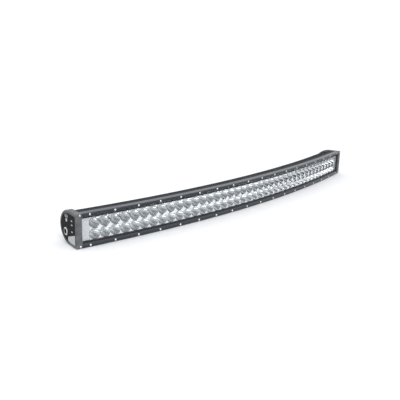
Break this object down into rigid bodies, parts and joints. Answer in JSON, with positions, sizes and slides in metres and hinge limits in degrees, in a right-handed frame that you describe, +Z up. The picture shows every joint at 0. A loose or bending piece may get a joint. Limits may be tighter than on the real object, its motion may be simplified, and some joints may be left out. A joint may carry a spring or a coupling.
{
  "type": "led light bar",
  "caption": "Long curved off-road light bar with two rows of chromed reflector cups behind a clear lens, screwed clamp rails and D-shaped end caps.",
  "frame": {"origin": "middle of the underside of the bounding box", "axes": "+X along the bar to the right-hand end as one looks at the lit face, -Y out of the lens, +Z up"},
  "size_m": [1.079, 0.129, 0.0762],
  "materials": {
    "housing_coat": "black powder coat on extruded aluminium, satin",
    "rail_coat": "black anodised look, satin, brighter along its convex nose",
    "cap_coat": "grey-black textured powder coat on die-cast aluminium",
    "stainless": "bright stainless steel",
    "lens_clear": "clear polycarbonate, polished",
    "seal_rubber": "black silicone rubber, matt",
    "reflector_chrome": "vacuum-metallised plastic, mirror bright",
    "board_white": "white solder resist on an aluminium-core board",
    "led_yellow": "yellow phosphor under a clear silicone dome",
    "pad_grey": "grey thermal gap pad",
    "badge_black": "gloss black moulded plastic",
    "badge_silver": "silver raised marks",
    "insert_bright": "turned stainless steel",
    "gland_nylon": "black nylon",
    "board_green": "green solder resist",
    "components": "dark component bodies"
  },
  "bodies": {
    "root": {"badge_left": "badge_black", "badge_marks": "badge_silver", "badge_right": "badge_black", "board_screws": "stainless", "bottom_rail": "rail_coat", "bottom_rail_screws": "stainless", "cap_gasket_left": "seal_rubber", "cap_gasket_right": "seal_rubber", "cap_screws": "stainless", "driver_board_left": "board_green", "driver_board_right": "board_green", "driver_components": "components", "end_cap_left": "cap_coat", "end_cap_right": "cap_coat", "gland_body": "gland_nylon", "gland_dome": "gland_nylon", "gland_locknut": "gland_nylon", "gland_seal": "seal_rubber", "housing": "housing_coat", "led_board_01": "board_white", "led_board_02": "board_white", "led_board_03": "board_white", "led_board_04": "board_white", "led_board_05": "board_white", "led_board_06": "board_white", "led_board_07": "board_white", "led_board_08": "board_white", "led_board_09": "board_white", "led_board_10": "board_white", "led_chips_01": "led_yellow", "led_chips_02": "led_yellow", "led_chips_03": "led_yellow", "led_chips_04": "led_yellow", "led_chips_05": "led_yellow", "led_chips_06": "led_yellow", "led_chips_07": "led_yellow", "led_chips_08": "led_yellow", "led_chips_09": "led_yellow", "led_chips_10": "led_yellow", "lens": "lens_clear", "lens_gasket_front": "seal_rubber", "lens_gasket_rear": "seal_rubber", "margin_plate_left": "reflector_chrome", "margin_plate_right": "reflector_chrome", "mount_insert_left": "insert_bright", "mount_insert_right": "insert_bright", "reflector_01": "reflector_chrome", "reflector_02": "reflector_chrome", "reflector_03": "reflector_chrome", "reflector_04": "reflector_chrome", "reflector_05": "reflector_chrome", "reflector_06": "reflector_chrome", "reflector_07": "reflector_chrome", "reflector_08": "reflector_chrome", "reflector_09": "reflector_chrome", "reflector_10": "reflector_chrome", "thermal_pads": "pad_grey", "top_rail": "rail_coat", "top_rail_screws": "stainless", "vent_plug": "gland_nylon"}
  },
  "joints": []
}
